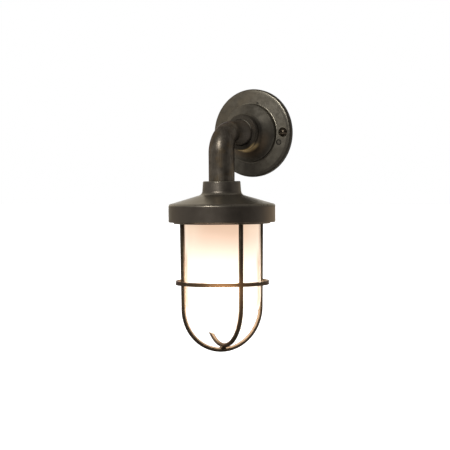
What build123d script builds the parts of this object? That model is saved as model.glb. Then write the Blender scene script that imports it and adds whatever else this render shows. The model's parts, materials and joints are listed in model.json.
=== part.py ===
"""Well glass wall light: a cast elbow carries a canopy, a frosted well glass and a screwed wire guard.

Millimetres. The origin is the middle of the wall plate on the wall's surface, the wall is the plane
Y = 0, the light stands out towards -Y, +X is to the right as seen from the room and +Z is up.
"""

import os
from math import asin, cos, radians, sin, tan

from build123d import *

os.makedirs("parts", exist_ok=True)

# Clearances shared by the pieces that fit together
slip = 0.1               # a plain fit between pieces that stay put
seat_gap = 0.2           # between a seal and the moving piece that presses on it
thread_clearance = 0.35  # radial room between two mating screw threads, drawn as plain cylinders

# Arrangement
reach = 67.0             # lamp axis to the wall
guard_angle = 55.6       # where the guard's thread comes tight, degrees about the lamp axis from +X

# Wall gasket and wall plate, as heights above the wall
gasket_thickness = 2.0
gasket_inset = 0.2
rim_width = 4.3
rim_height = 3.5
rim_round = 2.2
rim_back_round = 0.5
plate_rise = 1.4         # the plate's face is a shallow cone up to the boss
plate_wall = 2.4
boss_radius = 29.9
face_width = 15.5        # from the boss to the plate's edge
boss_height = 4.6        # of its upright step
boss_foot_cove = 0.9
boss_round = 2.0
boss_slope = 35.0        # of its cone from the wall's plane, degrees
boss_wall = 3.2
hall_cover = 2.2         # metal over the wiring hall, up to the step's top
neck_radius = 17.4
neck_fillet = 6.0
neck_straight = 0.4
bead_proud = 1.4
bead_length = 5.0
root_seat_depth = 1.2

# Wall screws and earth stud
screw_offset = 7.1       # of the screws from the boss
screw_head_radius = 4.7
screw_head_height = 3.0
screw_slot_width = 1.1
screw_slot_depth = 1.3
screw_shank_radius = 2.25
screw_thread_radius = 2.0
screw_thread_length = 8.0
screw_point_length = 1.0
screw_hole_room = 0.25
screw_lug_radius = 5.6
spot_face_room = 0.3
earth_stud_radius = 2.25
earth_offset = 3.9       # of the stud from the boss
earth_stud_angle = -17.2
earth_nut_flats = 7.0
earth_nut_thickness = 2.4
earth_stud_end = 0.3

# Elbow and its lock nuts
spigot_radius = 10.0
spigot_tail = 2.6
arm_root_radius = 13.5   # where the arm flares out to meet the boss
arm_waist_radius = 11.0  # where the bend begins
drop_radius = 13.0
bend_radius = 20.0
cable_bore_radius = 7.0
nut_flats = 24.0
nut_thickness = 4.5
nut_room = 0.8
nut_washer_thickness = 1.5
nut_washer_radius = 14.0

# Terminal block in the hollow of the boss
block_width = 24.0
block_height = 11.0
block_corner = 1.5
block_edge = 3.7         # between its lower edge and the hollow's wall
block_front = 2.8        # height of its rear face above the wall
block_screw_radius = 1.5
block_screw_head_radius = 2.8
block_screw_head_height = 1.8
block_screw_bite = 4.0
clamp_screw_radius = 1.8
clamp_screw_length = 3.6
clamp_screw_recess = 0.6
clamp_screw_drop = 7.4
clamp_slot = 0.8

# Inner leads
lead_radius = 1.2
lead_spacing = 8.0
lead_turn_radius = 7.0
lead_height = 5.4        # above the wall where the leads leave the block
lead_entry = 4.0
lead_hole_room = 0.2

# Canopy, as heights on the lamp axis
collar_top = -49.5
collar_top_radius = 18.7
collar_top_round = 1.2
collar_foot_radius = 19.7
collar_height = 13.2
collar_socket = 6.0
cove_radius = 4.8
cone_drop = 10.0
band_wall = 4.75         # outside the guard's thread
band_height = 17.8
band_round = 2.6
band_edge_round = 0.8
canopy_wall = 3.6
canopy_hub_radius = 22.0
thread_height = 11.0
glass_seat_width = 8.85

# Lampholder and its bracket
post_radius = 4.0
post_spread = 52.0
bracket_drop = 2.0       # below the elbow's lower spigot
bracket_thickness = 1.6
bracket_width = 18.0
bracket_eye_radius = 6.2
bracket_screw_radius = 1.4
bracket_screw_head_radius = 3.0
bracket_screw_head_height = 1.8
bracket_screw_bite = 4.0
holder_screw_spread = 27.0
holder_screw_head_height = 1.3
holder_radius = 19.0
holder_height = 28.0
holder_floor = 8.4
shell_wall = 0.8
shell_inset = 1.0
contact_width = 5.0
contact_length = 16.0
contact_thickness = 0.7
contact_rise = 1.0

# Lamp
cap_radius = 13.0
cap_wall = 0.5
cap_height = 17.0
cap_thread_room = 0.6
insulator_height = 2.6
insulator_top_radius = 5.0
eyelet_radius = 4.0
eyelet_height = 0.5
bulb_radius = 22.5
cap_skin = 0.9           # of the cap round the bulb's neck
bulb_neck_length = 5.0
bulb_wall = 0.9

# Well glass and its seals
seal_thickness = 2.0
flange_width = 7.5
flange_thickness = 4.0
flange_fillet = 2.0
glass_radius = 38.5
glass_wall = 3.5
glass_length = 121.3     # flange top to the lowest point
lower_seal_thickness = 1.5

# Guard
guard_ring_wall = 2.0
flange_room = 0.5        # between the flange and the ring
guard_ring_lip = 1.4     # how far the ring stands below the canopy's band
guard_ring_edge = 0.5
guard_ring_glass_room = 0.8
rod_radius = 2.25
rod_standoff = 5.1       # from the glass to the middle of the rods
rod_socket_depth = 3.4
guard_taper = 1.1        # the round bottom's radius is this much less than the rod circle's
hoop_room = 15.4         # from the glass down to the middle of the outer hoop's rod
belt_drop = 62.3         # below the rods' upper ends
belt_height = 3.9
belt_standoff = 3.2      # of its outside from the rod circle
belt_thickness = 2.1

# Levels that follow from the sizes above
plate_radius = boss_radius + face_width
screw_circle_radius = boss_radius + screw_offset
earth_stud_circle_radius = boss_radius + earth_offset
plate_back = gasket_thickness
rim_front = plate_back + rim_height
boss_foot = rim_front + plate_rise
shoulder = boss_foot + boss_height
slope_run = 1 - sin(radians(boss_slope))
cone_outer = boss_radius - boss_round * slope_run
cone_inner = neck_radius + neck_fillet * slope_run
cone_top = shoulder + (cone_outer - cone_inner) * tan(radians(boss_slope))
neck_start = cone_top + neck_fillet * cos(radians(boss_slope))
bead_start = neck_start + neck_straight
boss_front = bead_start + bead_length
root_seat = boss_front - root_seat_depth
recess_floor = rim_front - plate_wall
hall_floor = shoulder - hall_cover
hall_radius = boss_radius - boss_wall
block_top = block_edge + block_height - hall_radius
nut_room_radius = nut_flats / 2 / cos(radians(30)) + nut_room
nut_seat = hall_floor + nut_thickness + spigot_tail
spigot_end = nut_seat - nut_thickness - spigot_tail
bend_start = reach - bend_radius
flange_radius = glass_radius + flange_width
thread_radius = flange_radius + flange_room + guard_ring_wall
thread_bore = thread_radius + thread_clearance
band_radius = thread_bore + band_wall
cone_start = collar_top - collar_height
cone_foot = cone_start - cone_drop
band_foot = cone_foot - band_height
glass_seat = band_foot + thread_height
glass_seat_radius = thread_bore - glass_seat_width
cone_slope = cone_drop / (band_radius - collar_foot_radius)
hub_ceiling = cone_start - cone_slope * (canopy_hub_radius - collar_foot_radius) - canopy_wall
wall_ceiling = cone_start - cone_slope * (glass_seat_radius - collar_foot_radius) - canopy_wall
drop_seat = collar_top - collar_socket
canopy_nut_top = hub_ceiling - nut_washer_thickness
drop_end = canopy_nut_top - nut_thickness - slip
bracket_top = drop_end - bracket_drop
holder_top = bracket_top - bracket_thickness
holder_bottom = holder_top - holder_height
holder_inner_floor = holder_top - holder_floor
shell_radius = cap_radius + cap_thread_room + shell_wall
bulb_neck_radius = cap_radius - cap_skin - slip
flange_top = glass_seat - seal_thickness - seat_gap
flange_bottom = flange_top - flange_thickness
glass_bottom = flange_top - glass_length
dome_middle = glass_bottom + glass_radius
shelf_top = flange_bottom - lower_seal_thickness - seat_gap
guard_ring_bottom = band_foot - guard_ring_lip
rod_top = guard_ring_bottom + rod_socket_depth
shelf_radius = glass_radius + guard_ring_glass_room
rod_circle_radius = glass_radius + rod_standoff
hoop_radius = rod_circle_radius - guard_taper
hoop_bottom = glass_bottom - hoop_room
belt_middle = rod_top - belt_drop
belt_radius = rod_circle_radius + belt_standoff

# Working planes: a section through the wall axis, one along the arm and one through the lamp axis
wall_axis = Axis((0, 0, 0), (0, -1, 0))
lamp_axis = Axis((0, -reach, 0), (0, 0, 1))
wall_section = Plane(origin=(0, 0, 0), x_dir=(1, 0, 0), z_dir=(0, 0, -1))
arm_section = Plane(origin=(0, 0, 0), x_dir=(0, -1, 0), z_dir=(-1, 0, 0))
lamp_section = Plane(origin=(0, -reach, 0), x_dir=(1, 0, 0), z_dir=(0, -1, 0))


def off_wall(height):
    """Plane parallel to the wall, facing the room, with X to the right and Z up."""
    return Plane.XZ.offset(height)


def lamp_level(height):
    """Level plane on the lamp axis."""
    return Plane(origin=(0, -reach, height), x_dir=(1, 0, 0), z_dir=(0, 0, 1))


def face_height(radius):
    """Height of the plate's conical face above the wall."""
    outer = plate_radius - rim_round
    inner = boss_radius + boss_foot_cove
    return rim_front + plate_rise * (outer - radius) / (outer - inner)


def finish(piece, name):
    """Names a finished piece and writes it out."""
    piece.part.label = name
    export_step(piece.part, f"parts/{name}.step")


# Wall gasket: a flat ring under the plate's rim
with BuildPart() as wall_gasket:
    with BuildSketch(off_wall(0)):
        Circle(plate_radius - gasket_inset)
        Circle(plate_radius - rim_width + slip, mode=Mode.SUBTRACT)
    extrude(amount=gasket_thickness)
finish(wall_gasket, "wall_gasket")

# Wall plate: rounded rim, shallow face, stepped and coned boss with a filleted neck and a bead, hollow behind
spot_face = face_height(screw_circle_radius + screw_head_radius + spot_face_room)
with BuildPart() as wall_plate:
    with BuildSketch(wall_section):
        with BuildLine():
            rim_corner = (plate_radius - rim_round, rim_front)
            RadiusArc((plate_radius, rim_front - rim_round), rim_corner, -rim_round)
            Line(rim_corner, (boss_radius + boss_foot_cove, boss_foot))
            step_foot = (boss_radius, boss_foot + boss_foot_cove)
            RadiusArc((boss_radius + boss_foot_cove, boss_foot), step_foot, boss_foot_cove)
            step_top = (boss_radius, shoulder - boss_round * cos(radians(boss_slope)))
            Line(step_foot, step_top)
            RadiusArc(step_top, (cone_outer, shoulder), -boss_round)
            Line((cone_outer, shoulder), (cone_inner, cone_top))
            RadiusArc((cone_inner, cone_top), (neck_radius, neck_start), neck_fillet)
            Line((neck_radius, neck_start), (neck_radius, bead_start))
            bead_crest = (neck_radius + bead_proud, bead_start + bead_length / 2)
            ThreePointArc((neck_radius, bead_start), bead_crest, (neck_radius, boss_front))
            Polyline(
                (neck_radius, boss_front),
                (arm_root_radius + 3 * slip, boss_front),
                (arm_root_radius + 3 * slip, root_seat),
                (spigot_radius + slip, root_seat),
                (spigot_radius + slip, nut_seat),
                (nut_room_radius, nut_seat),
                (nut_room_radius, hall_floor),
                (hall_radius, hall_floor),
                (hall_radius, recess_floor),
                (plate_radius - rim_width, recess_floor),
                (plate_radius - rim_width, plate_back),
                (plate_radius - rim_back_round, plate_back),
            )
            back_corner = (plate_radius, plate_back + rim_back_round)
            RadiusArc((plate_radius - rim_back_round, plate_back), back_corner, -rim_back_round)
            Line(back_corner, (plate_radius, rim_front - rim_round))
        make_face()
    revolve(axis=wall_axis)
    with BuildSketch(off_wall(plate_back)):
        with PolarLocations(screw_circle_radius, 2):
            Circle(screw_lug_radius)
    extrude(amount=rim_front - plate_back - plate_wall / 2)
    with BuildSketch(off_wall(spot_face)):
        with PolarLocations(screw_circle_radius, 2):
            Circle(screw_head_radius + spot_face_room)
    extrude(amount=plate_rise + rim_height, mode=Mode.SUBTRACT)
    with BuildSketch(off_wall(0)):
        with PolarLocations(screw_circle_radius, 2):
            Circle(screw_shank_radius + screw_hole_room)
        with PolarLocations(earth_stud_circle_radius, 1, start_angle=earth_stud_angle):
            Circle(earth_stud_radius + slip)
    extrude(amount=shoulder, mode=Mode.SUBTRACT)
    with BuildSketch(off_wall(hall_floor)):
        with Locations((0, block_top - block_height / 2)):
            Circle(block_screw_radius + slip)
    extrude(amount=block_screw_bite + slip, mode=Mode.SUBTRACT)
finish(wall_plate, "wall_plate")

# Wall screws: round heads with a level slot, and a thinner thread that goes into the wall
head_sphere = (screw_head_radius**2 + screw_head_height**2) / (2 * screw_head_height)
with BuildPart() as plate_screws:
    for side in (-1, 1):
        middle = Plane(origin=(side * screw_circle_radius, 0, 0), x_dir=(1, 0, 0), z_dir=(0, 0, -1))
        with BuildSketch(middle):
            with BuildLine():
                head_top = (0, spot_face + screw_head_height)
                RadiusArc(head_top, (screw_head_radius, spot_face), head_sphere)
                Polyline(
                    (screw_head_radius, spot_face),
                    (screw_shank_radius, spot_face),
                    (screw_shank_radius, 0),
                    (screw_thread_radius, 0),
                    (screw_thread_radius, screw_point_length - screw_thread_length),
                    (0, -screw_thread_length),
                    head_top,
                )
            make_face()
        revolve(axis=Axis((side * screw_circle_radius, 0, 0), (0, -1, 0)))
    with BuildSketch(off_wall(spot_face + screw_head_height - screw_slot_depth)):
        with PolarLocations(screw_circle_radius, 2, rotate=False):
            Rectangle(3 * screw_head_radius, screw_slot_width)
    extrude(amount=screw_slot_depth + slip, mode=Mode.SUBTRACT)
finish(plate_screws, "plate_screws")

# Earth stud, riveted flush with the plate's face, and its thin nut behind the plate
earth_x = earth_stud_circle_radius * cos(radians(earth_stud_angle))
earth_z = earth_stud_circle_radius * sin(radians(earth_stud_angle))
earth_face = face_height(earth_stud_circle_radius + earth_stud_radius)
with BuildPart() as earth_stud:
    with BuildSketch(off_wall(earth_stud_end)):
        with Locations((earth_x, earth_z)):
            Circle(earth_stud_radius)
    extrude(amount=earth_face - earth_stud_end)
finish(earth_stud, "earth_stud")

with BuildPart() as earth_nut:
    with BuildSketch(off_wall(recess_floor - earth_nut_thickness)):
        with Locations((earth_x, earth_z)):
            RegularPolygon(earth_nut_flats / 2, 6, major_radius=False)
            Circle(earth_stud_radius + slip, mode=Mode.SUBTRACT)
    extrude(amount=earth_nut_thickness)
finish(earth_nut, "earth_nut")

# Terminal block on the floor of the boss's hollow, with its fixing screw and two clamp screws
block_middle = block_top - block_height / 2
clamp_level = block_top - clamp_screw_drop
with BuildPart() as terminal_block:
    with BuildSketch(off_wall(block_front)):
        with Locations((0, block_middle)):
            RectangleRounded(block_width, block_height, block_corner)
    extrude(amount=hall_floor - block_front)
    with BuildSketch(off_wall(block_front)):
        with Locations((0, block_middle)):
            Circle(block_screw_head_radius + slip)
    extrude(amount=block_screw_head_height + 2 * slip, mode=Mode.SUBTRACT)
    with BuildSketch(off_wall(block_front)):
        with Locations((0, block_middle)):
            Circle(block_screw_radius + slip)
    extrude(amount=hall_floor - block_front, mode=Mode.SUBTRACT)
    with BuildSketch(off_wall(block_front)):
        with Locations((-lead_spacing, clamp_level), (lead_spacing, clamp_level)):
            Circle(clamp_screw_radius + slip)
    extrude(amount=clamp_screw_recess + clamp_screw_length, mode=Mode.SUBTRACT)
    with BuildSketch(Plane.XY.offset(block_top)):
        with Locations((-lead_spacing / 2, -lead_height), (lead_spacing / 2, -lead_height)):
            Circle(lead_radius + lead_hole_room)
    extrude(amount=-lead_entry, mode=Mode.SUBTRACT)
finish(terminal_block, "terminal_block")

with BuildPart() as block_screw:
    head_floor = block_front + block_screw_head_height + 2 * slip
    with BuildSketch(off_wall(head_floor)):
        with Locations((0, block_middle)):
            Circle(block_screw_head_radius)
    extrude(amount=-block_screw_head_height)
    with BuildSketch(off_wall(head_floor)):
        with Locations((0, block_middle)):
            Circle(block_screw_radius)
    extrude(amount=hall_floor + block_screw_bite - head_floor)
finish(block_screw, "block_screw")

with BuildPart() as terminal_clamp_screws:
    with BuildSketch(off_wall(block_front + clamp_screw_recess)):
        with Locations((-lead_spacing, clamp_level), (lead_spacing, clamp_level)):
            Circle(clamp_screw_radius)
    extrude(amount=clamp_screw_length)
    with BuildSketch(off_wall(block_front + clamp_screw_recess)):
        with Locations((-lead_spacing, clamp_level), (lead_spacing, clamp_level)):
            Rectangle(2 * clamp_screw_radius, clamp_slot)
    extrude(amount=clamp_slot, mode=Mode.SUBTRACT)
finish(terminal_clamp_screws, "terminal_clamp_screws")

# Elbow: spigot, flared root, a bend that swells from the waist towards the canopy, and the drop
with BuildPart() as elbow:
    with BuildSketch(wall_section):
        with BuildLine():
            waist = (arm_waist_radius, bend_start)
            TangentArc(waist, (arm_root_radius, boss_front), tangent=(0, -1))
            Polyline(
                (arm_root_radius, boss_front),
                (arm_root_radius, root_seat),
                (spigot_radius, root_seat),
                (spigot_radius, spigot_end),
                (0, spigot_end),
                (0, bend_start),
                waist,
            )
        make_face()
    revolve(axis=wall_axis)
    with BuildLine(arm_section) as bend_path:
        CenterArc((bend_start, -bend_radius), bend_radius, 90, -90)
    with BuildSketch(Plane(origin=(0, -bend_start, 0), x_dir=(1, 0, 0), z_dir=(0, -1, 0))):
        Circle(arm_waist_radius)
    with BuildSketch(Plane(origin=(0, -reach, -bend_radius), x_dir=(1, 0, 0), z_dir=(0, 0, -1))):
        Circle(drop_radius)
    sweep(path=bend_path.line, multisection=True)
    with BuildSketch(lamp_section):
        Polygon(
            (0, -bend_radius),
            (drop_radius, -bend_radius),
            (drop_radius, drop_seat),
            (spigot_radius, drop_seat),
            (spigot_radius, drop_end),
            (0, drop_end),
            align=None,
        )
    revolve(axis=lamp_axis)
    with BuildLine(arm_section) as bore_path:
        Line((spigot_end, 0), (bend_start, 0))
        CenterArc((bend_start, -bend_radius), bend_radius, 90, -90)
        Line((reach, -bend_radius), (reach, drop_end))
    with BuildSketch(off_wall(spigot_end)):
        Circle(cable_bore_radius)
    sweep(path=bore_path.line, mode=Mode.SUBTRACT)
finish(elbow, "elbow")


# Lock nuts and washer on the elbow's two spigots
def lock_nut(plane):
    """Hexagon nut that stands on the plane it is given."""
    with BuildPart() as nut:
        with BuildSketch(plane):
            RegularPolygon(nut_flats / 2, 6, major_radius=False)
            Circle(spigot_radius + slip, mode=Mode.SUBTRACT)
        extrude(amount=nut_thickness)
    return nut


finish(lock_nut(off_wall(nut_seat - nut_thickness)), "elbow_locknut")
finish(lock_nut(lamp_level(canopy_nut_top - nut_thickness)), "canopy_locknut")

with BuildPart() as canopy_washer:
    with BuildSketch(lamp_level(canopy_nut_top)):
        Circle(nut_washer_radius)
        Circle(spigot_radius + slip, mode=Mode.SUBTRACT)
    extrude(amount=nut_washer_thickness)
finish(canopy_washer, "canopy_washer")

# Canopy: collar, cove, shallow cone and band, with the guard's thread and the glass seat inside
with BuildPart() as canopy:
    with BuildSketch(lamp_section):
        with BuildLine():
            FilletPolyline(
                (drop_radius + slip, collar_top),
                (collar_top_radius, collar_top),
                (collar_foot_radius, cone_start),
                (band_radius, cone_foot),
                (band_radius, band_foot),
                (thread_bore, band_foot),
                radius=[collar_top_round, cove_radius, band_round, band_edge_round],
            )
            Polyline(
                (thread_bore, band_foot),
                (thread_bore, glass_seat),
                (glass_seat_radius, glass_seat),
                (glass_seat_radius, wall_ceiling),
                (canopy_hub_radius, hub_ceiling),
                (spigot_radius + slip, hub_ceiling),
                (spigot_radius + slip, drop_seat),
                (drop_radius + slip, drop_seat),
                (drop_radius + slip, collar_top),
            )
        make_face()
    revolve(axis=lamp_axis)
    with BuildSketch(lamp_level(bracket_top)):
        with GridLocations(post_spread, 1, 2, 1):
            Circle(post_radius)
    extrude(amount=hub_ceiling - bracket_top + slip)
    with BuildSketch(lamp_level(bracket_top)):
        with GridLocations(post_spread, 1, 2, 1):
            Circle(bracket_screw_radius + slip)
    extrude(amount=bracket_screw_bite + slip, mode=Mode.SUBTRACT)
finish(canopy, "canopy")

# Lampholder bracket: a strap under the two posts, with an eye for the leads
with BuildPart() as holder_bracket:
    with BuildSketch(lamp_level(holder_top)):
        SlotOverall(post_spread + bracket_width, bracket_width)
        Circle(bracket_eye_radius, mode=Mode.SUBTRACT)
        with GridLocations(post_spread, 1, 2, 1):
            Circle(bracket_screw_radius + slip, mode=Mode.SUBTRACT)
        with GridLocations(holder_screw_spread, 1, 2, 1):
            Circle(bracket_screw_radius + slip, mode=Mode.SUBTRACT)
    extrude(amount=bracket_thickness)
finish(holder_bracket, "holder_bracket")

with BuildPart() as bracket_screws:
    with BuildSketch(lamp_level(holder_top)):
        with GridLocations(post_spread, 1, 2, 1):
            Circle(bracket_screw_head_radius)
    extrude(amount=-bracket_screw_head_height)
    with BuildSketch(lamp_level(holder_top)):
        with GridLocations(post_spread, 1, 2, 1):
            Circle(bracket_screw_radius)
    extrude(amount=bracket_thickness + bracket_screw_bite)
finish(bracket_screws, "bracket_screws")

with BuildPart() as holder_screws:
    with BuildSketch(lamp_level(bracket_top)):
        with GridLocations(holder_screw_spread, 1, 2, 1):
            Circle(bracket_screw_head_radius)
    extrude(amount=holder_screw_head_height)
    with BuildSketch(lamp_level(bracket_top)):
        with GridLocations(holder_screw_spread, 1, 2, 1):
            Circle(bracket_screw_radius)
    extrude(amount=-bracket_thickness - bracket_screw_bite)
finish(holder_screws, "holder_screws")

# Lampholder: porcelain body with a deep bore, its screw shell and its centre contact
with BuildPart() as lampholder_base:
    with BuildSketch(lamp_level(holder_bottom)):
        Circle(holder_radius)
    extrude(amount=holder_height)
    fillet(lampholder_base.faces().sort_by(Axis.Z)[0].edges(), shell_inset)
    with BuildSketch(lamp_level(holder_bottom)):
        Circle(shell_radius + slip)
    extrude(amount=holder_inner_floor - holder_bottom, mode=Mode.SUBTRACT)
    with BuildSketch(lamp_level(holder_top)):
        with GridLocations(lead_spacing, 1, 2, 1):
            Circle(lead_radius + lead_hole_room)
        with GridLocations(holder_screw_spread, 1, 2, 1):
            Circle(bracket_screw_radius + slip)
    extrude(amount=-bracket_screw_bite - slip, mode=Mode.SUBTRACT)
finish(lampholder_base, "lampholder_base")

with BuildPart() as lampholder_shell:
    with BuildSketch(lamp_level(holder_bottom + shell_inset)):
        Circle(shell_radius)
        Circle(shell_radius - shell_wall, mode=Mode.SUBTRACT)
    extrude(amount=holder_inner_floor - holder_bottom - shell_inset)
finish(lampholder_shell, "lampholder_shell")

with BuildPart() as centre_contact:
    with BuildSketch(lamp_section):
        Polygon(
            (-contact_length / 2, holder_inner_floor),
            (contact_length / 2, holder_inner_floor),
            (contact_length / 2, holder_inner_floor - contact_thickness),
            (eyelet_radius, holder_inner_floor - contact_thickness - contact_rise),
            (-eyelet_radius, holder_inner_floor - contact_thickness - contact_rise),
            (-contact_length / 2, holder_inner_floor - contact_thickness),
            align=None,
        )
    extrude(amount=contact_width / 2, both=True)
finish(centre_contact, "centre_contact")


# Inner leads: out of the block, through the elbow's bore and down into the lampholder
def inner_lead(x):
    """Lead in the plane at x, with a small turn at the block and the elbow's own bend."""
    plane = Plane(origin=(x, 0, 0), x_dir=(0, -1, 0), z_dir=(-1, 0, 0))
    with BuildPart() as lead:
        with BuildLine(plane) as route:
            FilletPolyline(
                (lead_height, block_top - lead_entry),
                (lead_height, 0),
                (reach, 0),
                (reach, holder_top - bracket_screw_bite),
                radius=[lead_turn_radius, bend_radius],
            )
        with BuildSketch(Plane(origin=(x, -lead_height, block_top - lead_entry), z_dir=(0, 0, 1))):
            Circle(lead_radius)
        sweep(path=route.line)
    return lead


finish(inner_lead(-lead_spacing / 2), "lead_live")
finish(inner_lead(lead_spacing / 2), "lead_neutral")

# Lamp: a round bulb, its screw cap, and the insulator with the eyelet
eyelet_top = holder_inner_floor - contact_thickness - contact_rise - seat_gap
cap_top = eyelet_top - eyelet_height - insulator_height
cap_bottom = cap_top - cap_height
bulb_shoulder = asin(bulb_neck_radius / bulb_radius)
bulb_middle = cap_bottom - bulb_neck_length - bulb_radius * cos(bulb_shoulder)
inner_shoulder = asin((bulb_neck_radius - bulb_wall) / (bulb_radius - bulb_wall))
inner_neck = bulb_middle + (bulb_radius - bulb_wall) * cos(inner_shoulder)
neck_top = cap_top - 2 * insulator_height
with BuildPart() as bulb_envelope:
    with BuildSketch(lamp_section):
        with BuildLine():
            outer_neck = (bulb_neck_radius, cap_bottom - bulb_neck_length)
            Line((bulb_neck_radius, neck_top), outer_neck)
            ThreePointArc(outer_neck, (bulb_radius, bulb_middle), (0, bulb_middle - bulb_radius))
            Line((0, bulb_middle - bulb_radius), (0, bulb_middle - bulb_radius + bulb_wall))
            ThreePointArc(
                (0, bulb_middle - bulb_radius + bulb_wall),
                (bulb_radius - bulb_wall, bulb_middle),
                (bulb_neck_radius - bulb_wall, inner_neck),
            )
            Polyline(
                (bulb_neck_radius - bulb_wall, inner_neck),
                (bulb_neck_radius - bulb_wall, neck_top),
                (bulb_neck_radius, neck_top),
            )
        make_face()
    revolve(axis=lamp_axis)
finish(bulb_envelope, "bulb_envelope")

with BuildPart() as bulb_cap:
    with BuildSketch(lamp_level(cap_bottom)):
        Circle(cap_radius)
        Circle(bulb_neck_radius + slip, mode=Mode.SUBTRACT)
    extrude(amount=cap_height)
    with BuildSketch(lamp_level(cap_top)):
        Circle(cap_radius)
    extrude(amount=-insulator_height)
finish(bulb_cap, "bulb_cap")

with BuildPart() as bulb_contact:
    with BuildSketch(lamp_section):
        Polygon(
            (0, cap_top),
            (cap_radius - cap_wall, cap_top),
            (insulator_top_radius, cap_top + insulator_height),
            (eyelet_radius, cap_top + insulator_height),
            (eyelet_radius, eyelet_top),
            (0, eyelet_top),
            align=None,
        )
    revolve(axis=lamp_axis)
finish(bulb_contact, "bulb_contact")


# Seals above and below the glass flange
def seal_ring(bottom, thickness, inner_radius):
    """Flat ring as wide as the glass flange outside."""
    with BuildPart() as ring:
        with BuildSketch(lamp_level(bottom)):
            Circle(flange_radius)
            Circle(inner_radius, mode=Mode.SUBTRACT)
        extrude(amount=thickness)
    return ring


finish(seal_ring(glass_seat - seal_thickness, seal_thickness, glass_seat_radius), "canopy_gasket")
finish(
    seal_ring(flange_bottom - lower_seal_thickness, lower_seal_thickness, shelf_radius + flange_fillet),
    "glass_gasket",
)

# Well glass: a flanged tube with a round bottom
with BuildPart() as well_glass:
    with BuildSketch(lamp_section):
        with BuildLine():
            Polyline(
                (glass_radius - glass_wall, dome_middle),
                (glass_radius - glass_wall, flange_top),
                (flange_radius, flange_top),
                (flange_radius, flange_bottom),
                (glass_radius + flange_fillet, flange_bottom),
            )
            under_flange = (glass_radius, flange_bottom - flange_fillet)
            RadiusArc((glass_radius + flange_fillet, flange_bottom), under_flange, -flange_fillet)
            Line(under_flange, (glass_radius, dome_middle))
            RadiusArc((glass_radius, dome_middle), (0, glass_bottom), glass_radius)
            Line((0, glass_bottom), (0, glass_bottom + glass_wall))
            inner_radius = glass_radius - glass_wall
            RadiusArc((0, glass_bottom + glass_wall), (inner_radius, dome_middle), -inner_radius)
        make_face()
    revolve(axis=lamp_axis)
finish(well_glass, "well_glass")

# Guard ring: a screwed ring with a shelf that lifts the glass flange, drilled for the four rod ends
with BuildPart() as guard_ring:
    with BuildSketch(lamp_section):
        Polygon(
            (thread_radius, flange_top),
            (thread_radius - guard_ring_wall, flange_top),
            (thread_radius - guard_ring_wall, shelf_top),
            (shelf_radius + flange_fillet, shelf_top),
            (shelf_radius, shelf_top - flange_fillet),
            (shelf_radius, guard_ring_bottom),
            (thread_radius - guard_ring_edge, guard_ring_bottom),
            (thread_radius, guard_ring_bottom + guard_ring_edge),
            align=None,
        )
    revolve(axis=lamp_axis)
    with BuildSketch(lamp_level(guard_ring_bottom)):
        with PolarLocations(rod_circle_radius, 4, start_angle=guard_angle):
            Circle(rod_radius + slip)
    extrude(amount=rod_socket_depth + slip, mode=Mode.SUBTRACT)
finish(guard_ring, "guard_ring")


# Guard hoops: two rods bent to a U and crossed at the bottom, the inner one lying on the outer one
def hoop_path(turn, bottom):
    """U-shaped route with tapering legs, in the upright plane turned about the lamp axis."""
    leg_drop = rod_top - (bottom + hoop_radius)
    taper = asin((rod_circle_radius - hoop_radius) / leg_drop)
    bend_x = hoop_radius * cos(taper)
    bend_z = bottom + hoop_radius - hoop_radius * sin(taper)
    east = (cos(radians(turn)), sin(radians(turn)), 0)
    south = (sin(radians(turn)), -cos(radians(turn)), 0)
    plane = Plane(origin=(0, -reach, 0), x_dir=east, z_dir=south)
    with BuildLine(plane) as route:
        Line((-rod_circle_radius, rod_top), (-bend_x, bend_z))
        ThreePointArc((-bend_x, bend_z), (0, bottom), (bend_x, bend_z))
        Line((bend_x, bend_z), (rod_circle_radius, rod_top))
    return route.line


def guard_hoop(turn, bottom):
    """One bent rod."""
    path = hoop_path(turn, bottom)
    with BuildPart() as hoop:
        with BuildSketch(Plane(origin=path @ 0, z_dir=path % 0)):
            Circle(rod_radius)
        sweep(path=path)
    return hoop


hoop_outer = guard_hoop(guard_angle, hoop_bottom)
finish(hoop_outer, "hoop_outer")
hoop_inner = guard_hoop(guard_angle + 90, hoop_bottom + 2 * rod_radius + slip)
finish(hoop_inner, "hoop_inner")

# Belt ring: a flat band round the rods, notched where it laps over them
leg_drop = rod_top - (hoop_bottom + hoop_radius)
belt_rod_circle = rod_circle_radius - (rod_circle_radius - hoop_radius) * (rod_top - belt_middle) / leg_drop
with BuildPart() as belt_ring:
    with BuildSketch(lamp_level(belt_middle - belt_height / 2)):
        Circle(belt_radius)
        Circle(belt_radius - belt_thickness, mode=Mode.SUBTRACT)
        with PolarLocations(belt_rod_circle, 4, start_angle=guard_angle):
            Circle(rod_radius + 2 * slip, mode=Mode.SUBTRACT)
    extrude(amount=belt_height)
finish(belt_ring, "belt_ring")
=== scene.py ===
import json
import math

import bpy
from mathutils import Matrix, Vector


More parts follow.
